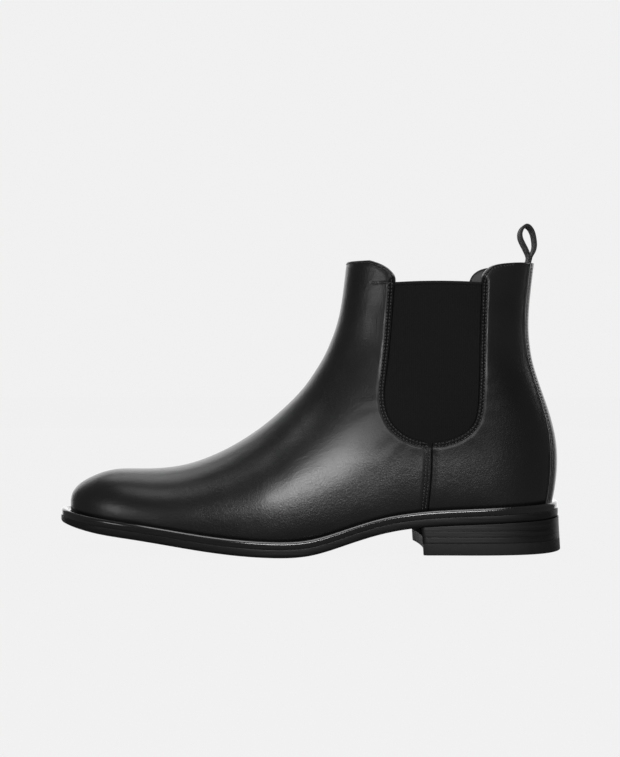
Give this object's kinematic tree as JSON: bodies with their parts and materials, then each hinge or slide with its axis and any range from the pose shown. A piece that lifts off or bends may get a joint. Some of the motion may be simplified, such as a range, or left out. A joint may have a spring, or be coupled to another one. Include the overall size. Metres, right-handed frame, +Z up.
{
  "type": "chelsea boot",
  "caption": "Ankle-high pull-on boot for the left foot, with elastic side gussets, a welted sole, a stacked heel and a pull loop at the back of the collar.",
  "frame": {"origin": "on the ground, under the middle of the boot's box", "axes": "toe to -X, heel to +X, outer side of the foot to -Y, +Z up"},
  "size_m": [0.3047, 0.1009, 0.1974],
  "materials": {
    "upper_leather": "smooth, polished",
    "elastic": "ribbed, matt",
    "loop_tape": "woven, matt",
    "stiffener": "stiffened felt",
    "interlining": "woven cotton",
    "lining_leather": "smooth, dull",
    "board": "fibre board",
    "cork": "granular",
    "steel": "tempered",
    "edge_leather": "edge ink, waxed",
    "rubber": "moulded"
  },
  "bodies": {
    "boot": {"vamp": "upper_leather", "quarter_lateral": "upper_leather", "quarter_medial": "upper_leather", "back_strap": "upper_leather", "gore_lateral": "elastic", "gore_medial": "elastic", "pull_loop_tail": "loop_tape", "toe_puff": "stiffener", "heel_counter": "stiffener", "vamp_interlining": "interlining", "quarter_interlining": "interlining", "vamp_lining": "lining_leather", "quarter_lining": "lining_leather", "sock_lining": "lining_leather", "heel_pad": "lining_leather", "insole_board": "board", "bottom_filler": "cork", "shank": "steel", "heel_nails": "steel", "welt": "edge_leather", "outsole": "edge_leather", "heel_lift_seat": "edge_leather", "heel_lift_middle": "edge_leather", "heel_lift_lower": "edge_leather", "heel_top_piece": "rubber"},
    "pull_loop": {"pull_loop": "loop_tape"}
  },
  "joints": [
    {"name": "pull_loop_fold", "type": "hinge", "parent": "boot", "child": "pull_loop", "pos_m": [0.1344, 0, 0.1761], "axis": [0, 1, 0], "range_deg": [-75, 80], "stiffness_Nm_per_rad": 0.003}
  ]
}
